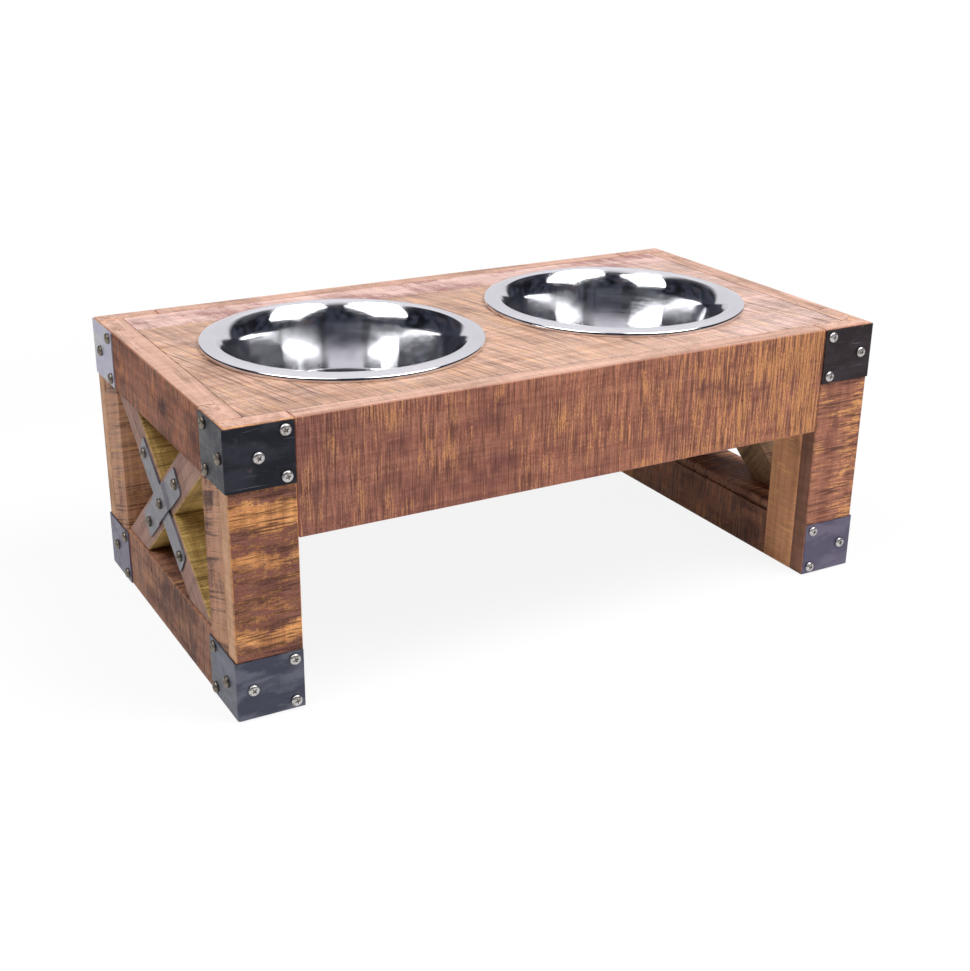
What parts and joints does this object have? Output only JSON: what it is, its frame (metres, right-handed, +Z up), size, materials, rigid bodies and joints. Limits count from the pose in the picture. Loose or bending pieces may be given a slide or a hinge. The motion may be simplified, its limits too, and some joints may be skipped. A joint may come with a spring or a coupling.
{
  "type": "raised pet feeder",
  "caption": "Raised hardwood pet feeder with X-braced ends, folded iron corner plates and round steel bowls that lift out of a slotted-in top panel.",
  "frame": {"origin": "on the floor, under the middle of the stand", "axes": "+X along the length to the right, +Y to the rear, +Z up"},
  "size_m": [0.5472, 0.3, 0.2162],
  "materials": {
    "leg_wood": "rough-sawn hardwood, oiled, golden and dark brown saw bands",
    "apron_wood": "rough-sawn hardwood, dark brown with fine upright saw marks",
    "end_frame_wood": "rough-sawn hardwood, pinkish brown with slanting saw marks",
    "brace_wood": "rough-sawn hardwood, olive brown on the side faces",
    "panel_wood": "sawn hardwood, tan, with saw marks along the depth",
    "plank_wood": "sawn hardwood, reddish brown",
    "inner_wood": "plain sawn hardwood",
    "plate_iron": "blued mild steel sheet with heat colours",
    "strap_iron": "grey mild steel strip",
    "screw_zinc": "zinc-plated pan-head screws",
    "bowl_steel": "mirror-polished stainless steel"
  },
  "bodies": {
    "stand": {"apron_tenons": "inner_wood", "bottom_rail_tenons": "inner_wood", "front_apron": "apron_wood", "front_cleat": "inner_wood", "front_cleat_screws": "screw_zinc", "front_left_bottom_plate": "plate_iron", "front_left_bottom_plate_screws": "screw_zinc", "front_left_leg": "leg_wood", "front_left_stile": "end_frame_wood", "front_left_top_plate": "plate_iron", "front_left_top_plate_screws": "screw_zinc", "front_right_bottom_plate": "plate_iron", "front_right_bottom_plate_screws": "screw_zinc", "front_right_leg": "leg_wood", "front_right_stile": "end_frame_wood", "front_right_top_plate": "plate_iron", "front_right_top_plate_screws": "screw_zinc", "left_bottom_rail": "end_frame_wood", "left_brace_long_arm": "brace_wood", "left_brace_lower_arm": "brace_wood", "left_brace_upper_arm": "brace_wood", "left_over_strap": "strap_iron", "left_strap_screws": "screw_zinc", "left_top_rail": "end_frame_wood", "left_under_strap": "strap_iron", "rear_apron": "apron_wood", "rear_cleat": "inner_wood", "rear_cleat_screws": "screw_zinc", "rear_left_bottom_plate": "plate_iron", "rear_left_bottom_plate_screws": "screw_zinc", "rear_left_leg": "leg_wood", "rear_left_stile": "end_frame_wood", "rear_left_top_plate": "plate_iron", "rear_left_top_plate_screws": "screw_zinc", "rear_right_bottom_plate": "plate_iron", "rear_right_bottom_plate_screws": "screw_zinc", "rear_right_leg": "leg_wood", "rear_right_stile": "end_frame_wood", "rear_right_top_plate": "plate_iron", "rear_right_top_plate_screws": "screw_zinc", "right_bottom_rail": "end_frame_wood", "right_brace_long_arm": "brace_wood", "right_brace_lower_arm": "brace_wood", "right_brace_upper_arm": "brace_wood", "right_over_strap": "strap_iron", "right_strap_screws": "screw_zinc", "right_top_rail": "end_frame_wood", "right_under_strap": "strap_iron", "top_panel": "panel_wood", "top_rear_plank": "plank_wood"},
    "left_bowl": {"left_bowl": "bowl_steel"},
    "right_bowl": {"right_bowl": "bowl_steel"}
  },
  "joints": [
    {"name": "left_bowl_lift", "type": "slide", "parent": "stand", "child": "left_bowl", "axis": [0, 0, 1], "range_m": [0, 0.1]},
    {"name": "right_bowl_lift", "type": "slide", "parent": "stand", "child": "right_bowl", "axis": [0, 0, 1], "range_m": [0, 0.1]}
  ]
}
